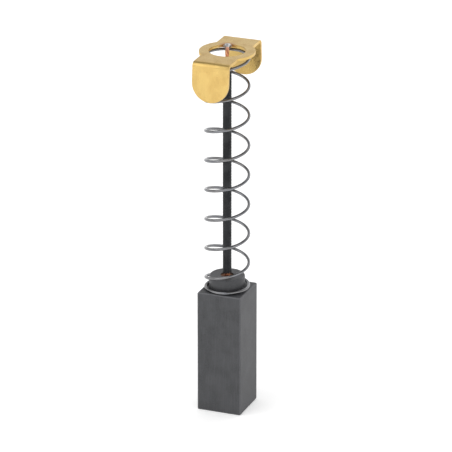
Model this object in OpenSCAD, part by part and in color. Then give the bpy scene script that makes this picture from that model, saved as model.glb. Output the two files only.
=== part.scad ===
// Carbon brush for a small commutator motor: a square carbon block with a round
// spigot, a compression spring round a sleeved copper lead, and a folded brass
// terminal cap with two ears. Millimetres. The origin is the middle of the wear
// face, +Z runs up towards the cap, and the cap's two ears face -Y and +Y.

/* [Carbon block] */
// Width of the square section along X
block_w = 6.35; // [6.2:0.05:7.6]
// Depth of the section along Y
block_d = 6.35; // [6.2:0.05:7.6]
// Length from the wear face to the shoulder
block_h = 17.4; // [10:0.1:26]
// Chamfer on the block's edges
block_chamfer = 0.15; // [0.05:0.05:0.3]
// Diameter of the round spigot that centres the spring
spigot_d = 4.9; // [4:0.05:5]
// Height of the spigot above the shoulder
spigot_h = 1.9; // [1:0.1:3]
// Chamfer round the spigot's rim
spigot_chamfer = 0.12; // [0.05:0.01:0.3]

/* [Lead socket] */
// Diameter of the blind hole that holds the lead
socket_d = 1.8; // [1.5:0.05:2.4]
// Depth of the hole's straight wall below the spigot's top
socket_depth = 5; // [3:0.1:7]
// Included angle of the drill point at the hole's bottom
drill_angle = 118; // [90:1:140]
// How far the tamped powder stays below the spigot's top
plug_recess = 0.15; // [0.05:0.05:0.5]

/* [Copper lead] */
// Diameter of the stranded rope
rope_d = 0.8; // [0.6:0.05:0.9]
// Powder left under the rope's lower end
rope_end_gap = 0.5; // [0.2:0.1:1]
// Diameter of the fused and compacted upper end
tip_d = 0.5; // [0.3:0.05:0.55]
// Length of the taper from the rope down to the fused end
tip_taper = 0.35; // [0.2:0.05:0.5]
// Centre line radius of the bend into the cap's hole
tip_bend_r = 0.7; // [0.5:0.05:1]
// Direction in which the fused end lies across the hole, from +X towards +Y
tip_azimuth = 110; // [90:1:130]
// Gap between the end of the lead and the hole's wall, filled by solder
tip_gap = 0.06; // [0.03:0.01:0.12]

/* [Lead sleeve] */
// Wall of the insulating sleeve
sleeve_wall = 0.2; // [0.1:0.05:0.3]
// Radial clearance between the rope and the sleeve
sleeve_clearance = 0.02; // [0.01:0.01:0.05]
// Bare rope between the spigot's top and the sleeve
bare_below = 0.4; // [0.1:0.1:1.5]
// Bare lead between the sleeve and the underside of the cap
bare_above = 1.5; // [1.5:0.1:3]

/* [Spring] */
// Wire diameter
wire_d = 0.4; // [0.3:0.05:0.5]
// Mean diameter of the coils
coil_d = 5.9; // [5.7:0.05:5.95]
// Free length from the shoulder to the cap
spring_h = 33.8; // [22:0.1:44]
// Turns from tip to tip
turns = 9.85; // [7:0.05:11]
// Closed turns at each end
closed_turns = 0.9; // [0.75:0.05:1.25]
// Part of a turn over which the pitch changes from closed to open
pitch_blend = 0.35; // [0.2:0.05:0.6]
// Gap left between the closed turn and the next one
closed_gap = 0.05; // [0.03:0.01:0.1]
// Height of the wire's centre line at the ground tip
tip_rise = 0.06; // [0.02:0.01:0.15]
// Direction of the lower tip, from +X towards +Y
spring_azimuth = 85; // [0:5:355]

/* [Terminal cap] */
// Thickness of the brass sheet
sheet_t = 0.4; // [0.3:0.05:0.6]
// Diameter of the cap's round middle
disc_d = 7.6; // [7:0.1:9]
// Diameter of the hole through it
hole_d = 5; // [4.5:0.05:5.2]
// Width of the two ears, whose lower ends are full half circles
ear_w = 5.2; // [4:0.1:6]
// Distance between the folds, over their outer faces
fold_span = 12.2; // [10.6:0.1:14]
// Length of an ear from the cap's top face to its round end
ear_h = 5.4; // [4:0.1:7]
// Radius inside the folds
fold_r = 0.25; // [0.1:0.05:0.6]
// Angle by which the ears lean outwards, in degrees
ear_lean = 4; // [0:0.5:10]
// Radius between the round middle and the straight necks
neck_r = 0.45; // [0.2:0.05:0.8]

/* [Solder joint] */
// Radius of the solder bead
bead_r = 0.44; // [0.35:0.01:0.5]
// How far the bead's middle plane reaches past the edge of the hole
bead_wet = 0.13; // [0.05:0.01:0.14]

/* [Hidden] */
$fn = 96;
wire_sides = 10;
steps_per_turn = 30;
cut = 1; // how far a cutting body runs past the face that it cuts

shoulder_z = block_h;
spigot_z = shoulder_z + spigot_h;
cap_z = shoulder_z + spring_h;
cap_mid_z = cap_z + sheet_t / 2;

// ---------------------------------------------------------------- carbon block

// A rectangle with its four corners cut at 45 degrees, centred on the origin.
module chamfered_rectangle(x, y, c) {
    polygon([
        [c - x / 2, -y / 2], [x / 2 - c, -y / 2],
        [x / 2, c - y / 2], [x / 2, y / 2 - c],
        [x / 2 - c, y / 2], [c - x / 2, y / 2],
        [-x / 2, y / 2 - c], [-x / 2, c - y / 2]
    ]);
}

// A box standing on z = 0 with all twelve edges chamfered.
module chamfered_box(x, y, z, c) {
    intersection() {
        linear_extrude(z) chamfered_rectangle(x, y, c);
        translate([0, y / 2, z / 2]) rotate([90, 0, 0])
            linear_extrude(y) chamfered_rectangle(x, z, c);
        translate([-x / 2, 0, z / 2]) rotate([90, 0, 90])
            linear_extrude(x) chamfered_rectangle(y, z, c);
    }
}

// A shaft on +Z with its upper rim chamfered.
module rimmed_cylinder(d, h, c) {
    rotate_extrude()
        polygon([[0, 0], [d / 2, 0], [d / 2, h - c], [d / 2 - c, h], [0, h]]);
}

// The drilled hole: a straight wall up to `top` and a drill point under it.
module drilled_hole(top) {
    point_h = socket_d / 2 / tan(drill_angle / 2);
    floor_z = spigot_z - socket_depth;
    rotate_extrude()
        polygon([
            [0, floor_z - point_h], [socket_d / 2, floor_z],
            [socket_d / 2, top], [0, top]
        ]);
}

module carbon_block() {
    color("#35363a")
    difference() {
        union() {
            chamfered_box(block_w, block_d, block_h, block_chamfer);
            translate([0, 0, shoulder_z - cut])
                rimmed_cylinder(spigot_d, spigot_h + cut, spigot_chamfer);
        }
        drilled_hole(spigot_z + cut);
    }
}

// ---------------------------------------------------------------- copper lead

rope_z = spigot_z - socket_depth + rope_end_gap;
sleeve_bottom_z = spigot_z + bare_below;
sleeve_top_z = cap_z - bare_above;
tip_straight_z = cap_mid_z - tip_bend_r;
tip_end_r = hole_d / 2 - tip_gap;

// Copper powder rammed round the rope: it fills the hole and grips the lead.
module tamped_plug() {
    color("#8a5a3c")
    difference() {
        drilled_hole(spigot_z - plug_recess);
        translate([0, 0, rope_z]) cylinder(d = rope_d, h = socket_depth);
    }
}

// The fused end: it rises on the axis and bends over into the plane of the cap.
module lead_tip() {
    rise_z = sleeve_top_z + tip_taper;
    translate([0, 0, rise_z]) cylinder(d = tip_d, h = tip_straight_z - rise_z);
    translate([tip_bend_r, 0, tip_straight_z])
        rotate([90, 0, 0])
            rotate_extrude(angle = 90, start = 90)
                translate([tip_bend_r, 0]) circle(d = tip_d);
    translate([tip_bend_r, 0, cap_mid_z])
        rotate([0, 90, 0])
            cylinder(d = tip_d, h = tip_end_r - tip_bend_r);
}

module copper_lead() {
    color("#b8683c")
    rotate([0, 0, tip_azimuth]) {
        translate([0, 0, rope_z]) cylinder(d = rope_d, h = sleeve_top_z - rope_z);
        translate([0, 0, sleeve_top_z])
            cylinder(d1 = rope_d, d2 = tip_d, h = tip_taper);
        lead_tip();
    }
}

module lead_sleeve() {
    bore_d = rope_d + 2 * sleeve_clearance;
    color("#16181b")
    translate([0, 0, sleeve_bottom_z])
    difference() {
        cylinder(d = bore_d + 2 * sleeve_wall, h = sleeve_top_z - sleeve_bottom_z);
        translate([0, 0, -cut])
            cylinder(d = bore_d, h = sleeve_top_z - sleeve_bottom_z + 2 * cut);
    }
}

// ---------------------------------------------------------------- spring

closed_pitch = wire_d + closed_gap;
open_turns = turns - 2 * closed_turns - pitch_blend;
open_pitch = closed_pitch
    + (spring_h - 2 * tip_rise - closed_pitch * turns) / open_turns;

// The integral of a 0 to 1 ramp that lasts `pitch_blend` turns.
function eased(s) =
    s <= 0 ? 0
    : s < pitch_blend ? s * s / (2 * pitch_blend)
    : s - pitch_blend / 2;

// How open the coil is at turn t: 0 is closed and 1 is the full pitch.
function openness(t) =
    max(0, min(1, (t - closed_turns) / pitch_blend, (turns - closed_turns - t) / pitch_blend));

// Height of the wire's centre line above the shoulder at turn t.
function wire_z(t) =
    tip_rise + closed_pitch * t + (open_pitch - closed_pitch)
    * (eased(t - closed_turns) - eased(t - turns + closed_turns + pitch_blend));

// One ring of the wire, square to its centre line. Both ends are ground flat, so
// no point lies under the shoulder or over the cap.
function wire_ring(t) =
    let (
        a = spring_azimuth + 360 * t,
        pitch = closed_pitch + (open_pitch - closed_pitch) * openness(t),
        lead_angle = atan(pitch / (PI * coil_d)),
        outward = [cos(a), sin(a), 0],
        upward = [
            sin(lead_angle) * sin(a), -sin(lead_angle) * cos(a), cos(lead_angle)
        ],
        centre = coil_d / 2 * outward + [0, 0, wire_z(t)]
    )
    [
        for (i = [0 : wire_sides - 1])
            let (
                b = 360 * i / wire_sides,
                p = centre + wire_d / 2 * (cos(b) * outward + sin(b) * upward)
            )
            [p.x, p.y, max(0, min(spring_h, p.z))]
    ];

// A closed tube through `rings` rings of `sides` points each.
module tube(points, rings, sides) {
    walls = [
        for (r = [0 : rings - 2], i = [0 : sides - 1])
            let (j = (i + 1) % sides, low = r * sides, high = low + sides)
            each [[low + i, low + j, high + j], [low + i, high + j, high + i]]
    ];
    ends = [
        [for (i = [0 : sides - 1]) sides - 1 - i],
        [for (i = [0 : sides - 1]) (rings - 1) * sides + i]
    ];
    polyhedron(points, concat(walls, ends), convexity = 12);
}

module spring() {
    steps = ceil(turns * steps_per_turn);
    points = [for (s = [0 : steps]) each wire_ring(turns * s / steps)];
    color("#b9bdc2")
    translate([0, 0, shoulder_z])
        tube(points, steps + 1, wire_sides);
}

// ---------------------------------------------------------------- terminal cap

fold_outer_r = fold_r + sheet_t;
fold_y = fold_span / 2 - fold_outer_r; // the flat plate ends here and the fold begins
ear_straight_h = ear_h - fold_outer_r - ear_w / 2;

// The concave fillet between the disc and one side of one neck.
module neck_fillet() {
    x = ear_w / 2 + neck_r;
    reach = disc_d / 2 + neck_r;
    y = sqrt(reach * reach - x * x);
    touch = disc_d / 2 / reach;
    difference() {
        polygon([
            [ear_w / 2, y], [x, y], [x * touch, y * touch],
            [ear_w / 2 - neck_r, y * touch]
        ]);
        translate([x, y]) circle(r = neck_r);
    }
}

module plate_outline() {
    circle(d = disc_d);
    square([ear_w, 2 * fold_y], center = true);
    for (side = [0, 1], end = [0, 1])
        mirror([side, 0]) mirror([0, end]) neck_fillet();
}

// The flat ring and its two necks, with the underside on z = 0.
module plate() {
    difference() {
        linear_extrude(sheet_t) plate_outline();
        translate([0, 0, -cut]) cylinder(d = hole_d, h = sheet_t + 2 * cut);
    }
}

// The fold, swept about an axis along X.
module fold() {
    rotate([90, 0, 90])
        translate([0, 0, -ear_w / 2])
            rotate([0, 0, ear_lean])
                rotate_extrude(angle = 90 - ear_lean)
                    translate([fold_r, 0]) square([sheet_t, ear_w]);
}

// Straight sides and a full half circle at the end, with the fold along y = 0.
module ear_outline() {
    translate([-ear_w / 2, 0]) square([ear_w, ear_straight_h]);
    translate([0, ear_straight_h])
        intersection() {
            circle(d = ear_w);
            translate([-ear_w, 0]) square([2 * ear_w, ear_w]);
        }
}

// The ear under the fold, drawn flat and turned to hang down and lean outwards.
module ear() {
    rotate([ear_lean - 90, 0, 0])
        translate([0, 0, fold_r])
            linear_extrude(sheet_t) ear_outline();
}

module terminal_cap() {
    color("#c9a24b")
    translate([0, 0, cap_z]) {
        plate();
        for (end = [0, 1])
            mirror([0, end, 0]) translate([0, fold_y, -fold_r]) {
                fold();
                ear();
            }
    }
}

// ---------------------------------------------------------------- solder joint

// The bead that fills the corner between the lead's end and the edge of the hole.
module solder_joint() {
    color("#a9abac")
    difference() {
        rotate([0, 0, tip_azimuth])
            translate([hole_d / 2 + bead_wet - bead_r, 0, cap_mid_z])
                sphere(r = bead_r);
        translate([0, 0, cap_z]) plate();
        rotate([0, 0, tip_azimuth]) lead_tip();
    }
}

carbon_block();
tamped_plug();
copper_lead();
lead_sleeve();
spring();
terminal_cap();
solder_joint();
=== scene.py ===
"""Finishes a carbon brush round its fixed frame: graphite, spring wire, rope, braid, brass and solder."""

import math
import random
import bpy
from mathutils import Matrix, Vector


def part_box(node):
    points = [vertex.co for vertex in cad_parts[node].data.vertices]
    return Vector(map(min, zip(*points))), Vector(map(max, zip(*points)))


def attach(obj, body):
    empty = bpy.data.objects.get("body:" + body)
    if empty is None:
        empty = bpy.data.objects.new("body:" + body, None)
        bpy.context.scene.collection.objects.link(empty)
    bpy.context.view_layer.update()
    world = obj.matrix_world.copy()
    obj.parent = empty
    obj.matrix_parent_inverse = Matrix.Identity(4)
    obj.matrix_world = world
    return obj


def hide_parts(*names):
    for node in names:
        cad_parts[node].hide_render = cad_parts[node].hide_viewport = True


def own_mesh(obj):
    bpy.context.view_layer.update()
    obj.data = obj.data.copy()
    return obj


bl_info = {
    "name": "Carbon Brush",
    "version": (1, 0, 0),
    "blender": (4, 5, 0),
    "location": "View3D > Sidebar > Carbon Brush",
    "description": "Dresses the frame of a carbon brush: wire, rope, braided sleeve, cap and solder",
    "category": "Object",
}

import bpy
from mathutils import Vector, noise

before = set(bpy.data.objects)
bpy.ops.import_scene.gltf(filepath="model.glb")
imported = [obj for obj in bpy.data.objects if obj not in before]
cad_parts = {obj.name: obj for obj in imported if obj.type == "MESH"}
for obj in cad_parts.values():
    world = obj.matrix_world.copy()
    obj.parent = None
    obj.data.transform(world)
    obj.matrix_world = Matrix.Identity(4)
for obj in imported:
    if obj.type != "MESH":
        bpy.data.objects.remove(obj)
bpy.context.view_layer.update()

MM = 0.001
WELD = 1e-7  # vertices closer than this are one
FULL_TURN = 2 * math.pi
SENSOR_W = 36.0  # width of the camera's film, in mm
# Each lamp's azimuth and elevation in degrees, then its distance and its width in mm.
LAMPS = {
    "key": (-38, 46, 420, 480),
    "fill": (58, 22, 460, 380),
    "rim": (168, 40, 430, 400),
}
PLUG_LOW, PLUG_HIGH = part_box("tamped_plug")
LEAD_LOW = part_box("copper_lead")[0]
SLEEVE_LOW, SLEEVE_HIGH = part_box("lead_sleeve")
SPRING_LOW, SPRING_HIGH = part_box("spring")
CAP_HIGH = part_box("terminal_cap")[1]
BEAD_LOW, BEAD_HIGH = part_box("solder_joint")

SHOULDER_Z = SPRING_LOW.z
CAP_UNDER_Z = SPRING_HIGH.z
CAP_MID_Z = (CAP_UNDER_Z + CAP_HIGH.z) / 2
BEAD_CENTRE = (BEAD_LOW + BEAD_HIGH) / 2


def length(name, description, default):
    return bpy.props.FloatProperty(
        name=name, description=description, default=default, unit="LENGTH", precision=5
    )


def angle(name, description, degrees):
    return bpy.props.FloatProperty(
        name=name, description=description, default=math.radians(degrees), subtype="ANGLE"
    )


def number(name, description, default):
    return bpy.props.FloatProperty(name=name, description=description, default=default)


def count(name, description, default):
    return bpy.props.IntProperty(name=name, description=description, default=default)


def colour(name, description, default):
    return bpy.props.FloatVectorProperty(
        name=name, description=description, default=default, subtype="COLOR", size=3, min=0, max=1
    )


class PowderSizes(bpy.types.PropertyGroup):
    """The copper powder that is rammed round the lead"""

    drill_angle: angle("Drill point", "Included angle at the bottom of the drilled hole", 118)
    climb: length("Climb", "How high the powder climbs the lead", 0.09 * MM)
    climb_reach: length("Climb reach", "How far from the lead the climb starts", 0.4 * MM)
    lump: length("Lump", "Width of the lumps that the tamping tool left", 0.16 * MM)
    lump_h: length("Lump height", "Height of those lumps", 0.045 * MM)


class SpringSizes(bpy.types.PropertyGroup):
    """The wire and the turns of the spring"""

    wire_d: length("Wire", "Diameter of the spring wire", 0.4 * MM)
    coil_d: length("Coil", "Mean diameter of the coils", 5.9 * MM)
    turns: number("Turns", "Turns from tip to tip", 9.85)
    closed_turns: number("Closed turns", "Closed turns at each end", 0.9)
    blend_turns: number("Blend", "Part of a turn over which the pitch opens", 0.35)
    closed_gap: length("Closed gap", "Gap between a closed turn and the next", 0.05 * MM)
    tip_rise: length("Tip rise", "Height of the wire's centre line at a ground tip", 0.06 * MM)
    start: angle("Start", "Direction of the lower tip, from +X towards +Y", 85)
    steps: count("Steps", "Rings of wire in one turn", 44)


class LeadSizes(bpy.types.PropertyGroup):
    """The stranded rope, its fused end and its braided sleeve"""

    rope_d: length("Rope", "Diameter of the stranded rope", 0.8 * MM)
    lay: length("Lay", "Length in which a bundle goes once round the rope", 5.6 * MM)
    bundle_lay: length("Bundle lay", "Length in which the wires go once round a bundle", 2.6 * MM)
    bundles: count("Bundles", "Bundles round the core", 6)
    wires: count("Wires", "Wires round a bundle", 8)
    wire_groove: number("Wire groove", "Depth of the grooves between wires, as a share", 0.24)
    tip_d: length("Tip", "Diameter of the fused end", 0.5 * MM)
    tip_ridges: count("Tip ridges", "Wires that still show on the fused end", 9)
    tip_groove: number("Tip groove", "Depth of the grooves between them, as a share", 0.1)
    taper: length("Taper", "Length over which the rope closes into the fused end", 0.35 * MM)
    bend_r: length("Bend", "Radius of the bend into the cap's hole", 0.7 * MM)
    tip_direction: angle("Tip direction", "Where the fused end points, from +X towards +Y", 110)
    tip_reach: length("Tip reach", "Distance from the axis to the lead's end", 2.44 * MM)
    sleeve_d: length("Sleeve", "Diameter over the braid", 1.2 * MM)
    yarns: count("Yarns", "Yarns each way round", 8)
    yarn_t: length("Yarn thickness", "Thickness of a flattened yarn", 0.085 * MM)
    braid_pitch: length("Braid pitch", "Length in which a yarn goes once round", 3.4 * MM)
    flare: length("Flare", "How far the braid opens at its cut ends", 0.03 * MM)
    flare_reach: length("Flare reach", "How far from an end the braid starts to open", 0.25 * MM)
    loose_ends: count("Loose filaments", "Loose filaments at each end", 16)
    filament_d: length("Filament", "Diameter of a loose filament", 0.022 * MM)


class CapSizes(bpy.types.PropertyGroup):
    """The folded cap's sheet and edges, and the solder on it"""

    hole_d: length("Hole", "Diameter of the hole", 5.0 * MM)
    edge_r: length("Edge", "Rounding of the punched edges", 0.035 * MM)
    fold_span: length("Span", "Distance between the folds over their outer faces", 12.2 * MM)
    fold_r: length("Fold", "Radius inside the folds", 0.25 * MM)
    sheet_t: length("Sheet", "Thickness of the sheet", 0.4 * MM)
    melt: length("Melt", "How finely the solder's drops run into one", 0.026 * MM)


class BrushColours(bpy.types.PropertyGroup):
    """Base colours of the brush's materials"""

    graphite: colour("Graphite", "Pressed graphite", (0.058, 0.059, 0.063))
    powder: colour("Powder", "Tamped copper powder", (0.24, 0.115, 0.065))
    steel: colour("Steel", "Drawn spring wire", (0.22, 0.225, 0.24))
    brass: colour("Brass", "Rolled brass sheet", (0.63, 0.44, 0.155))
    copper: colour("Copper", "Copper strands", (0.74, 0.33, 0.18))
    sleeve: colour("Sleeve", "Varnished black yarn", (0.008, 0.009, 0.011))
    solder: colour("Solder", "Tin solder", (0.54, 0.545, 0.55))
    floor: colour("Floor", "Floor and backdrop", (0.90, 0.90, 0.90))


class StageSizes(bpy.types.PropertyGroup):
    """The camera, the lamps and the light around"""

    azimuth: angle("Azimuth", "How far the camera stands round from the front", 21.4)
    elevation: angle("Elevation", "How far the camera looks down", 21.5)
    distance: length("Distance", "Distance from the camera to the brush", 543 * MM)
    frame_w: length("Frame", "Width that the camera sees at the brush", 61.4 * MM)
    aim_x: length("Aim right", "How far right of the axis the camera aims", -0.16 * MM)
    aim_z: length("Aim up", "How far over the middle of the brush the camera aims", 0.56 * MM)
    key: number("Key", "Power of the key lamp in watts", 0.68)
    fill: number("Fill", "Power of the fill lamp in watts", 0.25)
    rim: number("Rim", "Power of the rim lamp in watts", 0.3)
    sweep: number("Sweep", "Light from behind the brush", 0.95)
    room: number("Room", "Light from the camera's side", 0.28)
    top: number("Top", "Light from overhead", 0.7)
    ceiling: number("Ceiling", "How pale the ceiling is that metal reflects", 0.35)


# ---------------------------------------------------------------- shader nodes


def add_node(tree, kind, values=None, **settings):
    """Adds a node. Each value is a constant, or the output socket that it is linked from."""
    made = tree.nodes.new(kind)
    for key, value in settings.items():
        setattr(made, key, value)
    for key, value in (values or {}).items():
        socket = made.inputs[key]
        if isinstance(value, bpy.types.NodeSocket):
            tree.links.new(value, socket)
        elif isinstance(value, (tuple, Vector)) and socket.type == "RGBA":
            socket.default_value = (*value, 1.0)
        else:
            socket.default_value = value
    return made


def calculate(tree, operation, first, second=0.0, third=None, clamp=False):
    values = {0: first, 1: second}
    if third is not None:
        values[2] = third
    return add_node(
        tree, "ShaderNodeMath", values, operation=operation, use_clamp=clamp
    ).outputs[0]


def calculate_vector(tree, operation, vector, other=None):
    values = {0: vector} if other is None else {0: vector, 1: other}
    return add_node(tree, "ShaderNodeVectorMath", values, operation=operation).outputs


def axes(tree, vector):
    """The vector's X, Y and Z."""
    return add_node(tree, "ShaderNodeSeparateXYZ", {0: vector}).outputs


def scaled(tree, vector, scale):
    return add_node(
        tree, "ShaderNodeMapping", {"Vector": vector, "Scale": scale}, vector_type="POINT"
    ).outputs[0]


def ramp(tree, value, low, high):
    """0 below low, 1 above high, and smooth between."""
    return add_node(
        tree,
        "ShaderNodeMapRange",
        {"Value": value, "From Min": low, "From Max": high},
        interpolation_type="SMOOTHSTEP",
    ).outputs[0]


def blend_colours(tree, factor, first, second):
    return add_node(
        tree, "ShaderNodeMix", {0: factor, 6: first, 7: second}, data_type="RGBA", clamp_factor=True
    ).outputs[2]


def tinted(tree, body, *layers):
    """The body colour under layers of others, each given by its mask, its share and its colour."""
    for mask, share, over in layers:
        body = blend_colours(tree, calculate(tree, "MULTIPLY", mask, share), body, over)
    return body


def summed(tree, value, *layers):
    """A value with shares of masks added to it, each given by its mask and its share."""
    for mask, share in layers:
        value = calculate(tree, "MULTIPLY_ADD", mask, share, value)
    return value


def noise_texture(tree, vector, scale, detail, **more):
    values = {"Vector": vector, "Scale": scale, "Detail": detail}
    return add_node(tree, "ShaderNodeTexNoise", {**values, **more}).outputs[0]


def specks(tree, vector, spacing, rim, core):
    """1 within the core of scattered cells and 0 outside their rim, both as shares of the spacing."""
    cells = add_node(
        tree, "ShaderNodeTexVoronoi", {"Vector": vector, "Scale": 1 / spacing}, feature="F1"
    )
    return ramp(tree, cells.outputs["Distance"], rim, core)


def new_group(name, inputs, outputs):
    """A node group and its two end nodes. Inputs are (name, socket kind, default)."""
    group = bpy.data.node_groups.new(name, "ShaderNodeTree")
    for label, kind, default in inputs:
        socket = group.interface.new_socket(label, in_out="INPUT", socket_type=kind)
        if default is not None:
            socket.default_value = default
    for label, kind in outputs:
        group.interface.new_socket(label, in_out="OUTPUT", socket_type=kind)
    start = group.nodes.new("NodeGroupInput")
    end = group.nodes.new("NodeGroupOutput")
    return group, start.outputs, end.inputs


def place_group(tree, name, **values):
    return add_node(
        tree, "ShaderNodeGroup", values, node_tree=bpy.data.node_groups[name]
    ).outputs


def build_groups():
    """The effects that several materials share."""
    scalar, vector = "NodeSocketFloat", "NodeSocketVector"
    # Grain: fine grains and larger clouds in one surface.
    group, put, out = new_group(
        "Grain",
        [("Vector", vector, None), ("Size", scalar, 0.0001), ("Cloud", scalar, 0.002)],
        [("Grain", scalar), ("Cloud", scalar), ("Height", scalar)],
    )
    per_metre = calculate(group, "DIVIDE", 1.0, put["Size"])
    fine = noise_texture(group, put["Vector"], per_metre, 3.0, Roughness=0.6)
    cloud = noise_texture(
        group, put["Vector"], calculate(group, "DIVIDE", 1.0, put["Cloud"]), 2.0
    )
    group.links.new(ramp(group, fine, 0.3, 0.7), out["Grain"])
    group.links.new(ramp(group, cloud, 0.35, 0.65), out["Cloud"])
    group.links.new(summed(group, fine, (cloud, 0.4)), out["Height"])
    # Marks: long fine lines, along whatever direction the vector is squeezed in.
    group, put, out = new_group(
        "Marks",
        [("Vector", vector, None), ("Size", scalar, 0.00005)],
        [("Mask", scalar), ("Height", scalar)],
    )
    per_metre = calculate(group, "DIVIDE", 1.0, put["Size"])
    lines = noise_texture(group, put["Vector"], per_metre, 4.0, Roughness=0.7)
    group.links.new(ramp(group, lines, 0.45, 0.75), out["Mask"])
    group.links.new(lines, out["Height"])
    # Near: how close a point lies to a place, 1 there and 0 at the reach.
    group, put, out = new_group(
        "Near",
        [("Vector", vector, None), ("Place", vector, None), ("Reach", scalar, 0.001)],
        [("Mask", scalar)],
    )
    away = calculate_vector(group, "DISTANCE", put["Vector"], put["Place"])["Value"]
    share = calculate(group, "DIVIDE", away, put["Reach"])
    group.links.new(calculate(group, "SUBTRACT", 1.0, share, clamp=True), out["Mask"])


def new_material(name):
    """A material, its tree, and the object's own coordinates in it."""
    material = bpy.data.materials.new(name)
    material.use_nodes = True
    tree = material.node_tree
    return material, tree, add_node(tree, "ShaderNodeTexCoord").outputs["Object"]


def along_piece(tree, across):
    """Coordinates that run along a swept piece, squeezed less across it."""
    around = add_node(tree, "ShaderNodeUVMap", uv_map="UVMap").outputs[0]
    return scaled(tree, around, (1.0, across, 1.0))


def set_surface(tree, body, rough, height, depth, metallic):
    """Gives the shader its colour, roughness, relief and metal."""
    shader = tree.nodes["Principled BSDF"]
    relief = add_node(
        tree, "ShaderNodeBump", {"Height": height, "Strength": 1.0, "Distance": depth}
    )
    tree.links.new(body, shader.inputs["Base Color"])
    tree.links.new(rough, shader.inputs["Roughness"])
    tree.links.new(relief.outputs[0], shader.inputs["Normal"])
    shader.inputs["Metallic"].default_value = metallic
    return shader


def broken_edges(tree, place):
    """1 on the broken edges of the block and of its spigot, 0 on their sides and ends."""
    facing = add_node(tree, "ShaderNodeTexCoord").outputs["Normal"]
    x, y, z = axes(tree, calculate_vector(tree, "ABSOLUTE", facing)[0])
    level = calculate(tree, "MULTIPLY", ramp(tree, z, 0.3, 0.5), ramp(tree, z, 0.95, 0.8))
    on_block = calculate(tree, "LESS_THAN", axes(tree, place)[2], SHOULDER_Z)
    upright = ramp(tree, calculate(tree, "MINIMUM", x, y), 0.3, 0.5)
    return calculate(tree, "MAXIMUM", level, calculate(tree, "MULTIPLY", upright, on_block))


def tool_direction(tree, place):
    """Coordinates squeezed the way the tool ran: down the block's sides, and round the spigot."""
    x, _, z = axes(tree, place)
    out = calculate_vector(tree, "LENGTH", scaled(tree, place, (1.0, 1.0, 0.0)))["Value"]
    turned = add_node(
        tree, "ShaderNodeCombineXYZ", {0: out, 1: calculate(tree, "MULTIPLY", x, 0.03), 2: z}
    ).outputs[0]
    on_spigot = calculate(tree, "GREATER_THAN", z, SHOULDER_Z + 0.02 * MM)
    ground = scaled(tree, place, (1.0, 1.0, 0.035))
    return add_node(
        tree, "ShaderNodeMix", {0: on_spigot, 4: ground, 5: turned}, data_type="VECTOR"
    ).outputs[1]


def graphite_material(colours):
    """Pressed graphite: fine grains, flakes with a painted glint, pores with painted shade, ground sides,
    and edges lightened partly by wear and partly as a painted highlight.
    """
    material, tree, place = new_material("graphite")
    base = Vector(colours.graphite)
    grain = place_group(tree, "Grain", Vector=place, Size=0.09 * MM, Cloud=2.4 * MM)
    tooled = place_group(tree, "Marks", Vector=tool_direction(tree, place), Size=0.11 * MM)
    flake_and_glint = specks(tree, place, 0.13 * MM, 0.16, 0.06)
    pore_and_shade = specks(tree, place, 0.42 * MM, 0.13, 0.05)
    edge = broken_edges(tree, place)
    edge_wear_and_highlight = calculate(tree, "MULTIPLY", edge, ramp(tree, grain["Grain"], -0.4, 0.9))
    body = tinted(
        tree,
        blend_colours(tree, grain["Grain"], base * 0.72, base * 1.3),
        (grain["Cloud"], 0.5, base * 1.5),
        (tooled["Mask"], 0.4, base * 2.1),
        # Painted glint: the flakes are painted far lighter than the graphite round them.
        (flake_and_glint, 0.5, base * 3.4),
        # Painted shade: the pores are painted near black, as the shade inside them.
        (pore_and_shade, 0.7, base * 0.35),
        # The chamfered edges are painted lighter, partly as wear and partly as a painted highlight that
        # lets them read as lines.
        (edge_wear_and_highlight, 0.62, base * 2.6),
    )
    rough = summed(tree, 0.44, (grain["Grain"], 0.16), (flake_and_glint, -0.2), (edge_wear_and_highlight, -0.12))
    height = summed(tree, grain["Height"], (tooled["Height"], 0.8), (pore_and_shade, -1.6))
    set_surface(tree, body, rough, height, 0.012 * MM, metallic=0.25)
    return material


def powder_material(colours):
    """Copper powder rammed hard: coarse grains, some of them bright."""
    material, tree, place = new_material("tamped_powder")
    base = Vector(colours.powder)
    grain = place_group(tree, "Grain", Vector=place, Size=0.07 * MM, Cloud=0.5 * MM)
    body = blend_colours(tree, grain["Grain"], base * 0.45, base * 1.5)
    body = tinted(tree, body, (grain["Cloud"], 0.5, base * 0.6))
    rough = summed(tree, 0.75, (grain["Grain"], -0.25))
    set_surface(tree, body, rough, grain["Height"], 0.03 * MM, metallic=0.6)
    return material


def steel_material(colours):
    """Spring wire: long drawing lines, and a faint heat colour in places."""
    material, tree, place = new_material("spring_wire")
    base = Vector(colours.steel)
    warm = base * Vector((0.92, 0.82, 0.68))
    drawn = place_group(tree, "Marks", Vector=along_piece(tree, 6.0), Size=0.055)
    grain = place_group(tree, "Grain", Vector=place, Size=0.05 * MM, Cloud=3.0 * MM)
    body = blend_colours(tree, drawn["Mask"], base, base * 0.62)
    body = tinted(tree, body, (grain["Cloud"], 0.3, warm))
    rough = summed(tree, 0.13, (drawn["Mask"], 0.14), (grain["Grain"], 0.06))
    set_surface(tree, body, rough, drawn["Height"], 0.004 * MM, metallic=1.0)
    return material


def fold_axis():
    """How far out and how high the two folds are centred."""
    sizes = bpy.context.scene.cap_sizes
    return sizes.fold_span / 2 - sizes.fold_r - sizes.sheet_t, CAP_UNDER_Z - sizes.fold_r


def stretched_folds(tree, place):
    """1 on the outside of the folds, where the sheet was stretched."""
    out, height = fold_axis()
    outer = bpy.context.scene.cap_sizes.fold_r + bpy.context.scene.cap_sizes.sheet_t
    _, y, z = axes(tree, place)
    away_y = calculate(tree, "SUBTRACT", calculate(tree, "ABSOLUTE", y), out)
    away_z = calculate(tree, "SUBTRACT", z, height)
    square = calculate(tree, "MULTIPLY", away_y, away_y)
    square = calculate(tree, "MULTIPLY_ADD", away_z, away_z, square)
    return ramp(tree, calculate(tree, "SQRT", square), outer * 1.25, outer * 1.02)


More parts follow.
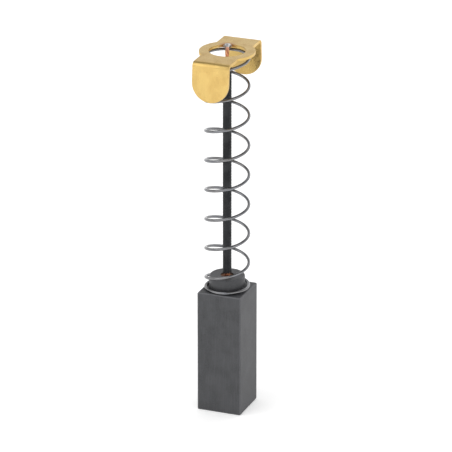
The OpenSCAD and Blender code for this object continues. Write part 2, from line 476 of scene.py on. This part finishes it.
def brass_material(colours):
    """Rolled sheet: lines along the strip, smudges, punched edges with a painted highlight, and a tint
    round the solder.
    """
    material, tree, place = new_material("brass_sheet")
    base = Vector(colours.brass)
    dull = base * Vector((0.8, 0.66, 0.55))
    heated = base * Vector((0.6, 0.36, 0.3))
    strip = scaled(tree, place, (1.0, 0.012, 0.012))
    rolled = place_group(tree, "Marks", Vector=strip, Size=0.035 * MM)
    grain = place_group(tree, "Grain", Vector=place, Size=0.04 * MM, Cloud=1.7 * MM)
    smudge = noise_texture(tree, place, 1 / (2.6 * MM), 2.0, Distortion=1.2)
    smudge = ramp(tree, smudge, 0.5, 0.68)
    bent = stretched_folds(tree, place)
    cut = add_node(tree, "ShaderNodeAttribute", attribute_name="punched").outputs["Fac"]
    near = place_group(tree, "Near", Vector=place, Place=BEAD_CENTRE, Reach=1.7 * MM)["Mask"]
    body = tinted(
        tree,
        base,
        (rolled["Mask"], 0.4, base * 0.72),
        (grain["Cloud"], 0.22, dull),
        (smudge, 0.14, base * 0.78),
        # Painted highlight: the punched edges are painted lighter, and they are also made rougher.
        (cut, 0.5, base * 1.2),
        (bent, 0.35, base * 1.12),
    )
    body = blend_colours(tree, ramp(tree, near, 0.1, 0.75), body, heated)
    rough = summed(tree, 0.19, (rolled["Mask"], 0.14), (grain["Cloud"], 0.08), (cut, 0.16))
    rough = summed(tree, rough, (bent, 0.1), (smudge, 0.1))
    set_surface(tree, body, rough, rolled["Height"], 0.004 * MM, metallic=1.0)
    return material


def copper_material(colours, fused):
    """Copper: bare strands, or the fused end that tin has crept along."""
    material, tree, place = new_material("fused_copper" if fused else "copper_strands")
    base = Vector(colours.copper)
    brown = base * Vector((0.42, 0.36, 0.34))
    grain = place_group(tree, "Grain", Vector=place, Size=0.06 * MM, Cloud=0.8 * MM)
    body = tinted(tree, base, (grain["Cloud"], 0.55, brown), (grain["Grain"], 0.25, base * 1.1))
    if fused:
        near = place_group(tree, "Near", Vector=place, Place=BEAD_CENTRE, Reach=1.35 * MM)
        tinned = ramp(tree, summed(tree, near["Mask"], (grain["Cloud"], 0.2)), 0.35, 0.6)
        body = blend_colours(tree, tinned, body, Vector(colours.solder))
    rough = summed(tree, 0.28, (grain["Grain"], 0.14))
    set_surface(tree, body, rough, grain["Height"], 0.006 * MM, metallic=1.0)
    return material


def yarn_material(colours):
    """Black glass yarn: fine filaments along each yarn under a thin varnish."""
    material, tree, place = new_material("braided_yarn")
    base = Vector(colours.sleeve)
    filaments = place_group(tree, "Marks", Vector=along_piece(tree, 1.6), Size=0.045)
    grain = place_group(tree, "Grain", Vector=place, Size=0.05 * MM, Cloud=1.1 * MM)
    body = blend_colours(tree, filaments["Mask"], base, base * 3.8)
    body = tinted(tree, body, (grain["Cloud"], 0.4, base * 2.0))
    rough = summed(tree, 0.58, (filaments["Mask"], -0.12))
    shader = set_surface(tree, body, rough, filaments["Height"], 0.018 * MM, metallic=0.0)
    tree.links.new(summed(tree, 0.1, (grain["Cloud"], 0.3)), shader.inputs["Coat Weight"])
    shader.inputs["Coat Roughness"].default_value = 0.35
    shader.inputs["Specular IOR Level"].default_value = 0.3
    return material


def solder_material(colours):
    """Solder that set smooth, a little frosted, with a trace of flux at its foot."""
    material, tree, place = new_material("set_solder")
    base = Vector(colours.solder)
    flux = base * Vector((0.6, 0.48, 0.3))
    grain = place_group(tree, "Grain", Vector=place, Size=0.12 * MM, Cloud=0.35 * MM)
    foot = ramp(tree, axes(tree, place)[2], CAP_HIGH.z + 0.05 * MM, CAP_HIGH.z)
    body = tinted(tree, base, (grain["Cloud"], 0.5, base * 0.72), (foot, 0.35, flux))
    rough = summed(tree, 0.27, (grain["Grain"], 0.16))
    set_surface(tree, body, rough, grain["Height"], 0.004 * MM, metallic=1.0)
    return material


def where_looked_at(tree, seen, other):
    """One shader where the camera, a reflection or a view through glass looks, else the other."""
    path = add_node(tree, "ShaderNodeLightPath").outputs
    mask = calculate(tree, "MAXIMUM", path["Is Camera Ray"], path["Is Glossy Ray"])
    mask = calculate(tree, "MAXIMUM", mask, path["Is Transmission Ray"])
    values = {0: mask, 1: other.outputs[0], 2: seen.outputs[0]}
    return add_node(tree, "ShaderNodeMixShader", values).outputs[0]


def floor_material(colours):
    """A pale floor whose own colour turns white where the camera or a mirror-like piece sees it."""
    material, tree, place = new_material("pale_floor")
    shader = tree.nodes["Principled BSDF"]
    shader.inputs["Base Color"].default_value = (*colours.floor, 1.0)
    shader.inputs["Roughness"].default_value = 0.9
    shader.inputs["Specular IOR Level"].default_value = 0.1
    away = calculate_vector(tree, "LENGTH", place)["Value"]
    far = add_node(
        tree,
        "ShaderNodeMapRange",
        {"Value": away, "From Min": 0.1, "From Max": 0.45, "To Min": 0.3, "To Max": 0.8},
        interpolation_type="SMOOTHSTEP",
    ).outputs[0]
    lift = add_node(tree, "ShaderNodeEmission", {"Color": (1.0, 1.0, 1.0), "Strength": far})
    dark = add_node(tree, "ShaderNodeEmission", {"Color": (0.0, 0.0, 0.0)})
    values = {0: shader.outputs[0], 1: where_looked_at(tree, lift, dark)}
    both = add_node(tree, "ShaderNodeAddShader", values).outputs[0]
    tree.links.new(both, tree.nodes["Material Output"].inputs["Surface"])
    return material


# ---------------------------------------------------------------- modelling


def select_only(*pieces):
    """Back to object mode, with nothing but these selected and the first one active."""
    if bpy.context.mode != "OBJECT":
        bpy.ops.object.mode_set(mode="OBJECT")
    bpy.ops.object.select_all(action="DESELECT")
    for piece in pieces:
        piece.select_set(True)
    if pieces:
        bpy.context.view_layer.objects.active = pieces[0]


def edit(piece, action="DESELECT"):
    """Edit mode on one piece, with none of its faces selected, or all of them."""
    select_only(piece)
    bpy.ops.object.mode_set(mode="EDIT")
    bpy.ops.mesh.select_mode(type="FACE")
    bpy.ops.mesh.select_all(action=action)


def select_where(piece, test):
    """Selects the faces that pass the test and nothing else, from edit mode."""
    bpy.ops.mesh.select_all(action="DESELECT")
    bpy.ops.object.mode_set(mode="OBJECT")
    for face in piece.data.polygons:
        face.select = bool(test(face))
    bpy.ops.object.mode_set(mode="EDIT")


def close_and_face_out(piece):
    """Welds the loose corners of a piece and turns its faces outwards."""
    edit(piece, "SELECT")
    bpy.ops.mesh.remove_doubles(threshold=WELD)
    bpy.ops.mesh.normals_make_consistent(inside=False)
    bpy.ops.object.mode_set(mode="OBJECT")


def smooth(piece, degrees=40):
    select_only(piece)
    bpy.ops.object.shade_smooth_by_angle(angle=math.radians(degrees))


def apply_modifiers(piece):
    select_only(piece)
    for modifier in list(piece.modifiers):
        bpy.ops.object.modifier_apply(modifier=modifier.name)


def give(piece, material):
    piece.data.materials.clear()
    piece.data.materials.append(material)


def polar(radius, turn, z):
    return Vector((radius * math.cos(turn), radius * math.sin(turn), z))


def evenly(low, high, steps):
    """Values from low to high, in equal steps."""
    return [low + (high - low) * step / steps for step in range(steps + 1)]


def redraw(curve, points):
    """Gives a curve one spline of straight steps through the points, in metres."""
    curve.data.splines.clear()
    spline = curve.data.splines.new("POLY")
    spline.points.add(len(points) - 1)
    for corner, point in zip(spline.points, points):
        corner.co = (*point, 1.0)
    return spline


def draw_path(name, points, tilts=(), radii=(), twist="Z_UP"):
    """A curve through the points, turned and widened as it goes."""
    select_only()
    bpy.ops.curve.primitive_nurbs_path_add()
    path = bpy.context.object
    path.name = name
    path.data.dimensions = "3D"
    path.data.twist_mode = twist
    path.data.use_fill_caps = True
    spline = redraw(path, points)
    for corner, tilt, radius in zip(spline.points, tilts, radii):
        corner.tilt = tilt
        corner.radius = radius
    return path


def draw_section(outline):
    """A closed flat outline for a path to carry along."""
    select_only()
    bpy.ops.curve.primitive_bezier_circle_add()
    section = bpy.context.object
    redraw(section, outline).use_cyclic_u = True
    return section


def sweep(path, section=None, radius=0.0, roundness=6):
    """Turns a path into a closed mesh, with a section outline or a round one."""
    if section:
        path.data.bevel_mode = "OBJECT"
        path.data.bevel_object = section
    else:
        path.data.bevel_depth = radius
        path.data.bevel_resolution = roundness
    select_only(path)
    bpy.ops.object.convert(target="MESH")
    if section:
        bpy.data.objects.remove(section)
    close_and_face_out(path)
    return path


def turned_copies(piece, total):
    """The piece and its copies, evenly round Z, each with its own mesh."""
    made = [piece]
    for index in range(1, total):
        select_only(piece)
        bpy.ops.object.duplicate(linked=False)
        copy = bpy.context.object
        copy.rotation_euler.z = FULL_TURN * index / total
        bpy.ops.object.transform_apply(location=False, rotation=True, scale=False)
        made.append(copy)
    return made


def join(pieces, name):
    select_only(*pieces)
    bpy.ops.object.join()
    joined = bpy.context.object
    joined.name = name
    joined.data.name = name
    return joined


def cut_flat(piece, z, keep_above):
    """Grinds a piece off at a level and closes it there."""
    edit(piece, "SELECT")
    bpy.ops.mesh.bisect(
        plane_co=(0, 0, z),
        plane_no=(0, 0, 1),
        use_fill=True,
        clear_inner=keep_above,
        clear_outer=not keep_above,
        threshold=WELD,
    )
    bpy.ops.object.mode_set(mode="OBJECT")


def copy_node(node, name):
    """A welded copy of a CAD node, with its flat faces whole again."""
    piece = bpy.data.objects.new(name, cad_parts[node].data.copy())
    bpy.context.scene.collection.objects.link(piece)
    select_only(piece)
    bpy.ops.mesh.customdata_custom_splitnormals_clear()
    edit(piece, "SELECT")
    bpy.ops.mesh.remove_doubles(threshold=WELD)
    bpy.ops.mesh.dissolve_limited(angle_limit=math.radians(0.5))
    bpy.ops.object.mode_set(mode="OBJECT")
    return piece


# ---------------------------------------------------------------- pieces


class CARBON_BRUSH_OT_block(bpy.types.Operator):
    """Finish the pressed graphite block and its spigot"""

    bl_idname = "carbon_brush.block"
    bl_label = "Block"

    def execute(self, context):
        give(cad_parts["carbon_block"], graphite_material(context.scene.brush_colours))
        return {"FINISHED"}


class CARBON_BRUSH_OT_plug(bpy.types.Operator):
    """Model the copper powder that is tamped round the lead in the spigot"""

    bl_idname = "carbon_brush.plug"
    bl_label = "Tamped powder"

    def execute(self, context):
        sizes = context.scene.powder_sizes
        wall = PLUG_HIGH.x
        # The powder closes in to the middle of the rope's outer bundles.
        opening = context.scene.lead_sizes.rope_d / 3
        height = PLUG_HIGH.z - PLUG_LOW.z
        select_only()
        bpy.ops.mesh.primitive_cylinder_add(
            vertices=72, radius=wall, depth=height, location=(0, 0, PLUG_LOW.z + height / 2)
        )
        plug = context.object
        plug.name = "powder_plug"
        bpy.ops.object.transform_apply(location=True, rotation=False, scale=False)
        edit(plug)
        select_where(plug, lambda face: face.normal.z > 0.9)
        rings = 7
        for _ in range(rings):
            bpy.ops.mesh.inset(thickness=(wall - opening) / rings)
        bpy.ops.mesh.extrude_region_move(
            TRANSFORM_OT_translate={"value": (0, 0, LEAD_LOW.z - PLUG_HIGH.z)}
        )
        select_where(plug, lambda face: face.normal.z < -0.9)
        drill_point = wall / math.tan(sizes.drill_angle / 2)
        bpy.ops.transform.translate(value=(0, 0, drill_point))
        bpy.ops.mesh.extrude_region_move(
            TRANSFORM_OT_translate={"value": (0, 0, -drill_point)}
        )
        bpy.ops.mesh.merge(type="COLLAPSE")
        bpy.ops.object.mode_set(mode="OBJECT")
        # The powder climbs the lead a little and its top is left rough by the tamping tool.
        for vertex in plug.data.vertices:
            radius = math.hypot(vertex.co.x, vertex.co.y)
            if vertex.co.z < PLUG_HIGH.z - WELD or radius > wall - WELD:
                continue
            near = max(0.0, 1 - (radius - opening) / sizes.climb_reach)
            rough = noise.noise(vertex.co / sizes.lump)
            vertex.co.z += sizes.climb * near * near + sizes.lump_h * rough
        close_and_face_out(plug)
        smooth(plug, 60)
        give(plug, powder_material(context.scene.brush_colours))
        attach(plug, "brush")
        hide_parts("tamped_plug")
        return {"FINISHED"}


def spring_height(sizes, turn):
    """Height of the wire's centre line over the shoulder."""

    def eased(s):
        if s <= 0:
            return 0.0
        if s < sizes.blend_turns:
            return s * s / (2 * sizes.blend_turns)
        return s - sizes.blend_turns / 2

    free = CAP_UNDER_Z - SHOULDER_Z
    closed = sizes.wire_d + sizes.closed_gap
    open_turns = sizes.turns - 2 * sizes.closed_turns - sizes.blend_turns
    extra = (free - 2 * sizes.tip_rise - closed * sizes.turns) / open_turns
    first = sizes.closed_turns
    last = sizes.turns - sizes.closed_turns - sizes.blend_turns
    return sizes.tip_rise + closed * turn + extra * (eased(turn - first) - eased(turn - last))


class CARBON_BRUSH_OT_spring(bpy.types.Operator):
    """Coil the spring and grind its two ends flat"""

    bl_idname = "carbon_brush.spring"
    bl_label = "Spring"

    def execute(self, context):
        sizes = context.scene.spring_sizes
        points = []
        for turn in evenly(0.0, sizes.turns, math.ceil(sizes.turns * sizes.steps)):
            height = SHOULDER_Z + spring_height(sizes, turn)
            points.append(polar(sizes.coil_d / 2, sizes.start + FULL_TURN * turn, height))
        spring = sweep(draw_path("coil_spring", points), radius=sizes.wire_d / 2)
        cut_flat(spring, SHOULDER_Z, keep_above=True)
        cut_flat(spring, CAP_UNDER_Z, keep_above=False)
        smooth(spring)
        give(spring, steel_material(context.scene.brush_colours))
        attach(spring, "brush")
        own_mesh(spring)
        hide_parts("spring")
        return {"FINISHED"}


def rope_end_z(sizes):
    return SLEEVE_HIGH.z + sizes.taper


def follow_lead(piece):
    """Attaches a piece of the lead to the brush, with a mesh of its own."""
    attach(piece, "brush")
    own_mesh(piece)


def lobed(radius, lobes, depth, corners_per_lobe=3):
    """The outline of a bundle: one lobe for each wire round its rim."""
    corners = lobes * corners_per_lobe
    outline = []
    for index in range(corners):
        turn = FULL_TURN * index / corners
        reach = radius * (1 - depth * (1 - abs(math.cos(lobes * turn / 2))))
        outline.append(polar(reach, turn, 0))
    return outline


def rope_bundle(sizes, centre_r, radius, name):
    """One bundle of wires, laid round the rope's axis and closing up at the fused end."""
    bottom, top = LEAD_LOW.z, rope_end_z(sizes)
    ring_gap = 0.11 * MM
    # Even the core runs a hair off the axis, so that its section has a side to turn from.
    off_axis = max(centre_r, 0.004 * MM)
    end_share = sizes.tip_d / sizes.rope_d * 0.92
    points, tilts, radii = [], [], []
    for z in evenly(bottom, top, round((top - bottom) / ring_gap)):
        closing = max(0.0, 1 - (top - z) / sizes.taper)
        narrow = 1 - (1 - end_share) * closing * closing * (3 - 2 * closing)
        points.append(polar(off_axis * narrow, FULL_TURN * (z - bottom) / sizes.lay, z))
        tilts.append(-FULL_TURN * (z - bottom) / sizes.bundle_lay)
        radii.append(narrow)
    section = draw_section(lobed(radius, sizes.wires, sizes.wire_groove))
    return sweep(draw_path(name, points, tilts, radii), section)


class CARBON_BRUSH_OT_rope(bpy.types.Operator):
    """Lay the copper rope from its bundles, and form its fused end"""

    bl_idname = "carbon_brush.rope"
    bl_label = "Copper rope"

    def execute(self, context):
        sizes = context.scene.lead_sizes
        colours = context.scene.brush_colours
        bundle_r = sizes.rope_d / 6
        outer = rope_bundle(sizes, 2 * bundle_r, bundle_r, "bundle")
        core = rope_bundle(sizes, 0.0, bundle_r, "core")
        rope = join([core, *turned_copies(outer, sizes.bundles)], "copper_rope")
        smooth(rope, 80)
        give(rope, copper_material(colours, fused=False))
        follow_lead(rope)
        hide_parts("copper_lead")
        self.form_tip(sizes, colours)
        return {"FINISHED"}

    def form_tip(self, sizes, colours):
        """The fused end: up the axis, round the bend and across to the edge of the hole."""
        buried = 0.12 * MM
        twist_per_ring = 0.16
        narrowing = 0.1
        rise = CAP_MID_Z - sizes.bend_r
        heights = evenly(rope_end_z(sizes) - buried, rise, 6)
        points = [Vector((0, 0, z)) for z in heights[:-1]]
        for bend in evenly(0.0, math.pi / 2, 18):
            reach = sizes.bend_r * (1 - math.cos(bend))
            z = rise + sizes.bend_r * math.sin(bend)
            points.append(polar(reach, sizes.tip_direction, z))
        for reach in evenly(sizes.bend_r, sizes.tip_reach, 14)[1:]:
            points.append(polar(reach, sizes.tip_direction, CAP_MID_Z))
        last = len(points) - 1
        tilts = [twist_per_ring * index for index in range(last + 1)]
        radii = [1 - narrowing * (index / last) ** 6 for index in range(last + 1)]
        section = draw_section(lobed(sizes.tip_d / 2, sizes.tip_ridges, sizes.tip_groove, 4))
        tip = sweep(draw_path("fused_end", points, tilts, radii, twist="MINIMUM"), section)
        smooth(tip, 70)
        give(tip, copper_material(colours, fused=True))
        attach(tip, "cap")


def braid_yarn(sizes, way):
    """One yarn of the braid, over and under the yarns that run the other way."""
    bottom, top = SLEEVE_LOW.z, SLEEVE_HIGH.z
    rings_per_wave = 8
    fill = 0.47  # half a yarn's width, as a share of the room that it has
    corners = 10
    half_t = sizes.yarn_t / 2
    middle = sizes.sleeve_d / 2 - 2 * half_t
    waves = sizes.yarns * (top - bottom) / sizes.braid_pitch
    points = []
    for z in evenly(bottom, top, math.ceil(waves * rings_per_wave)):
        turn = FULL_TURN * (z - bottom) / sizes.braid_pitch
        end = min(z - bottom, top - z)
        opened = sizes.flare * math.exp(-end / sizes.flare_reach)
        reach = middle + opened + way * half_t * math.cos(sizes.yarns * turn)
        points.append(polar(reach, way * turn, z))
    slope = math.atan2(FULL_TURN * middle, sizes.braid_pitch)
    half_w = FULL_TURN * middle / sizes.yarns * math.cos(slope) * fill
    section = []
    for index in range(corners):
        turn = FULL_TURN * index / corners
        section.append((half_t * math.cos(turn), half_w * math.sin(turn), 0))
    return sweep(draw_path("yarn", points), draw_section(section))


class CARBON_BRUSH_OT_sleeve(bpy.types.Operator):
    """Braid the sleeve from its yarns, over a thin liner"""

    bl_idname = "carbon_brush.sleeve"
    bl_label = "Braided sleeve"

    def execute(self, context):
        sizes = context.scene.lead_sizes
        yarns = []
        for way in (1, -1):
            yarns += turned_copies(braid_yarn(sizes, way), sizes.yarns)
        liner = self.roll_liner(context, sizes)
        sleeve = join([*yarns, liner, *self.cut_ends(sizes)], "braided_sleeve")
        smooth(sleeve, 60)
        give(sleeve, yarn_material(context.scene.brush_colours))
        follow_lead(sleeve)
        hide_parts("lead_sleeve")
        return {"FINISHED"}

    def roll_liner(self, context, sizes):
        """The thin tube under the braid, a little shorter than it."""
        inset = 0.06 * MM
        select_only()
        bpy.ops.mesh.primitive_cylinder_add(
            vertices=48,
            radius=sizes.sleeve_d / 2 - 2 * sizes.yarn_t,
            depth=SLEEVE_HIGH.z - SLEEVE_LOW.z - 2 * inset,
            end_fill_type="NOTHING",
            location=(0, 0, (SLEEVE_LOW.z + SLEEVE_HIGH.z) / 2),
        )
        liner = context.object
        bpy.ops.object.transform_apply(location=True, rotation=False, scale=False)
        wall = liner.modifiers.new("wall", "SOLIDIFY")
        wall.thickness = 0.02 * MM
        wall.offset = -1
        apply_modifiers(liner)
        return liner

    def cut_ends(self, sizes):
        """Loose filaments that the shears left at both ends of the sleeve."""
        draw = random.Random(5)
        buried = 0.35  # share of a filament that lies inside the braid
        hairs = []
        for end, way in ((SLEEVE_LOW.z, -1), (SLEEVE_HIGH.z, 1)):
            for _ in range(sizes.loose_ends):
                turn = draw.uniform(0, FULL_TURN)
                reach = sizes.sleeve_d / 2 - draw.uniform(0.4, 1.2) * sizes.yarn_t
                curl = draw.uniform(-0.5, 0.5)
                spread = draw.uniform(-0.2, 0.6)
                long = draw.uniform(0.12, 0.26) * MM
                points = []
                for share in evenly(0.0, 1.0, 5):
                    z = end + way * long * (share - buried)
                    points.append(polar(reach + spread * long * share**2, turn + curl * share, z))
                hair = draw_path("filament", points)
                hairs.append(sweep(hair, radius=sizes.filament_d / 2, roundness=1))
        return hairs


def mark_punched(cap):
    """Stores on each face whether it is one that the punch sheared."""
    fold_y, fold_z = fold_axis()
    marks = cap.data.attributes.new("punched", "FLOAT", "FACE")
    for face in cap.data.polygons:
        centre = face.center
        if abs(centre.y) < fold_y:
            across = Vector((0, 0, 1))
        elif centre.z > fold_z:
            side = math.copysign(1, centre.y)
            across = Vector((0, centre.y - side * fold_y, centre.z - fold_z)).normalized()
        else:
            across = Vector((0, 1, 0))
        marks.data[face.index].value = 1.0 if abs(face.normal.dot(across)) < 0.6 else 0.0


class CARBON_BRUSH_OT_cap(bpy.types.Operator):
    """Round the edges of the folded brass cap"""

    bl_idname = "carbon_brush.cap"
    bl_label = "Terminal cap"

    def execute(self, context):
        cap = copy_node("terminal_cap", "brass_cap")
        rounding = cap.modifiers.new("rounding", "BEVEL")
        rounding.width = context.scene.cap_sizes.edge_r
        rounding.segments = 2
        rounding.limit_method = "ANGLE"
        rounding.angle_limit = math.radians(50)
        apply_modifiers(cap)
        smooth(cap, 35)
        even = cap.modifiers.new("even", "WEIGHTED_NORMAL")
        even.keep_sharp = True
        apply_modifiers(cap)
        mark_punched(cap)
        give(cap, brass_material(context.scene.brush_colours))
        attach(cap, "cap")
        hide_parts("terminal_cap")
        return {"FINISHED"}


class CARBON_BRUSH_OT_solder(bpy.types.Operator):
    """Run the solder round the lead's end and on to the edge of the hole"""

    bl_idname = "carbon_brush.solder"
    bl_label = "Solder joint"

    def execute(self, context):
        sizes = context.scene.cap_sizes
        direction = context.scene.lead_sizes.tip_direction
        drops = []
        for reach, lift, half_sizes in self.blobs(sizes):
            select_only()
            bpy.ops.mesh.primitive_uv_sphere_add(
                segments=40,
                ring_count=24,
                radius=1.0,
                location=polar(reach, direction, CAP_MID_Z + lift),
                rotation=(0, 0, direction),
                scale=half_sizes,
            )
            bpy.ops.object.transform_apply(location=True, rotation=True, scale=True)
            drops.append(context.object)
        bead = join(drops, "solder_bead")
        melt = bead.modifiers.new("melt", "REMESH")
        melt.mode = "VOXEL"
        melt.voxel_size = sizes.melt
        settle = bead.modifiers.new("settle", "SMOOTH")
        settle.factor = 0.5
        settle.iterations = 16
        apply_modifiers(bead)
        close_and_face_out(bead)
        smooth(bead, 80)
        give(bead, solder_material(context.scene.brush_colours))
        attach(bead, "cap")
        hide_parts("solder_joint")
        return {"FINISHED"}

    def blobs(self, sizes):
        """How far out each blob sits, how high, and its half sizes: outwards, round and up."""
        radius = (BEAD_HIGH.z - BEAD_LOW.z) / 2
        edge = sizes.hole_d / 2
        half_sheet = sizes.sheet_t / 2
        blobs = [
            (edge - 0.27 * MM, 0.0, (radius * 0.95, radius, radius * 0.9)),
            (edge - 0.02 * MM, 0.0, (0.17 * MM, 0.7 * MM, 0.2 * MM)),
            (edge - 0.08 * MM, 0.0, (0.24 * MM, 0.6 * MM, 0.27 * MM)),
            (edge + 0.08 * MM, half_sheet, (0.27 * MM, 0.42 * MM, 0.07 * MM)),
            (edge + 0.08 * MM, -half_sheet, (0.24 * MM, 0.4 * MM, 0.07 * MM)),
        ]
        # It also runs back along the lead as a thin skin.
        rings = 9
        for step in range(rings):
            skin = (0.258 + 0.13 * (1 - step / rings) ** 2) * MM
            blobs.append((edge - (0.4 + 0.075 * step) * MM, 0.0, (skin, skin, skin)))
        return blobs


class CARBON_BRUSH_OT_stage(bpy.types.Operator):
    """Set up the floor, the lamps, the surrounding light and the camera"""

    bl_idname = "carbon_brush.stage"
    bl_label = "Stage"

    def execute(self, context):
        sizes = context.scene.stage_sizes
        context.scene.view_settings.view_transform = "Standard"
        self.lay_floor(context)
        middle = Vector((0, 0, CAP_HIGH.z / 2))
        for name in LAMPS:
            self.hang_lamp(name, middle, getattr(sizes, name))
        self.light_sky(context, sizes)
        self.place_camera(context, sizes, middle)
        return {"FINISHED"}

    def lay_floor(self, context):
        select_only()
        bpy.ops.mesh.primitive_plane_add(size=6.0)
        floor = context.object
        floor.name = "floor"
        give(floor, floor_material(context.scene.brush_colours))

    def around(self, azimuth, elevation, distance):
        """A direction from the object: azimuth 0 is the front, and 90 degrees the right."""
        level = math.cos(elevation)
        return Vector(
            (math.sin(azimuth) * level, -math.cos(azimuth) * level, math.sin(elevation))
        ) * distance

    def hang_lamp(self, name, target, power):
        azimuth, elevation, distance, width = LAMPS[name]
        away = self.around(math.radians(azimuth), math.radians(elevation), distance * MM)
        select_only()
        bpy.ops.object.light_add(type="AREA", location=target + away)
        lamp = bpy.context.object
        lamp.name = name
        lamp.rotation_euler = away.to_track_quat("Z", "Y").to_euler()
        lamp.data.shape = "DISK"
        lamp.data.size = width * MM
        lamp.data.energy = power

    def light_sky(self, context, sizes):
        """A pale sweep behind the brush and a dim room before it, both plain where looked at."""
        world = bpy.data.worlds.new("studio")
        world.use_nodes = True
        context.scene.world = world
        tree = world.node_tree
        light = tree.nodes["Background"]
        place = add_node(tree, "ShaderNodeTexCoord").outputs["Generated"]
        front = self.around(sizes.azimuth, 0, 1.0)
        towards = calculate_vector(tree, "DOT_PRODUCT", place, front)["Value"]
        behind = ramp(tree, towards, 0.75, -0.35)
        height = axes(tree, place)[2]
        overhead = ramp(tree, height, 0.35, 0.85)
        side = blend_colours(tree, behind, (sizes.room,) * 3, (sizes.sweep,) * 3)
        around = blend_colours(tree, overhead, side, (sizes.top,) * 3)
        tree.links.new(around, light.inputs["Color"])
        # What is looked at is white to well over the camera, and a pale grey ceiling above that.
        ceiling = ramp(tree, height, 0.25, 0.7)
        seen = blend_colours(tree, ceiling, (1.0, 1.0, 1.0), (sizes.ceiling,) * 3)
        pale = add_node(tree, "ShaderNodeBackground", {"Color": seen, "Strength": 1.0})
        chosen = where_looked_at(tree, pale, light)
        tree.links.new(chosen, tree.nodes["World Output"].inputs["Surface"])

    def place_camera(self, context, sizes, middle):
        back = self.around(sizes.azimuth, sizes.elevation, 1.0)
        right = Vector((math.cos(sizes.azimuth), math.sin(sizes.azimuth), 0))
        target = middle + right * sizes.aim_x + back.cross(right) * sizes.aim_z
        select_only()
        bpy.ops.object.camera_add(location=target + back * sizes.distance)
        camera = context.object
        camera.rotation_euler = back.to_track_quat("Z", "Y").to_euler()
        camera.data.sensor_width = SENSOR_W
        camera.data.lens = SENSOR_W * sizes.distance / sizes.frame_w
        camera.data.clip_start = 0.01
        context.scene.camera = camera


class VIEW3D_PT_carbon_brush(bpy.types.Panel):
    """The sizes and colours, and a button for each piece"""

    bl_label = "Carbon Brush"
    bl_space_type = "VIEW_3D"
    bl_region_type = "UI"
    bl_category = "Carbon Brush"

    def draw(self, context):
        for group in SETTINGS:
            box = self.layout.box()
            settings = getattr(context.scene, group)
            for name in settings.bl_rna.properties.keys():
                if name not in ("rna_type", "name"):
                    box.prop(settings, name)
        for operator in STEPS:
            self.layout.operator(operator.bl_idname)


SETTINGS = {
    "powder_sizes": PowderSizes,
    "spring_sizes": SpringSizes,
    "lead_sizes": LeadSizes,
    "cap_sizes": CapSizes,
    "brush_colours": BrushColours,
    "stage_sizes": StageSizes,
}
STEPS = (
    CARBON_BRUSH_OT_stage,
    CARBON_BRUSH_OT_block,
    CARBON_BRUSH_OT_plug,
    CARBON_BRUSH_OT_spring,
    CARBON_BRUSH_OT_rope,
    CARBON_BRUSH_OT_sleeve,
    CARBON_BRUSH_OT_cap,
    CARBON_BRUSH_OT_solder,
)


def register():
    for kind in (*SETTINGS.values(), *STEPS, VIEW3D_PT_carbon_brush):
        bpy.utils.register_class(kind)
    for name, kind in SETTINGS.items():
        setattr(bpy.types.Scene, name, bpy.props.PointerProperty(type=kind))


def unregister():
    for name in SETTINGS:
        delattr(bpy.types.Scene, name)
    for kind in reversed((*SETTINGS.values(), *STEPS, VIEW3D_PT_carbon_brush)):
        bpy.utils.unregister_class(kind)


def main():
    register()
    build_groups()
    bpy.ops.carbon_brush.stage()
    bpy.ops.carbon_brush.block()
    bpy.ops.carbon_brush.plug()
    bpy.ops.carbon_brush.spring()
    bpy.ops.carbon_brush.rope()
    bpy.ops.carbon_brush.sleeve()
    bpy.ops.carbon_brush.cap()
    bpy.ops.carbon_brush.solder()


if __name__ == "__main__":
    main()
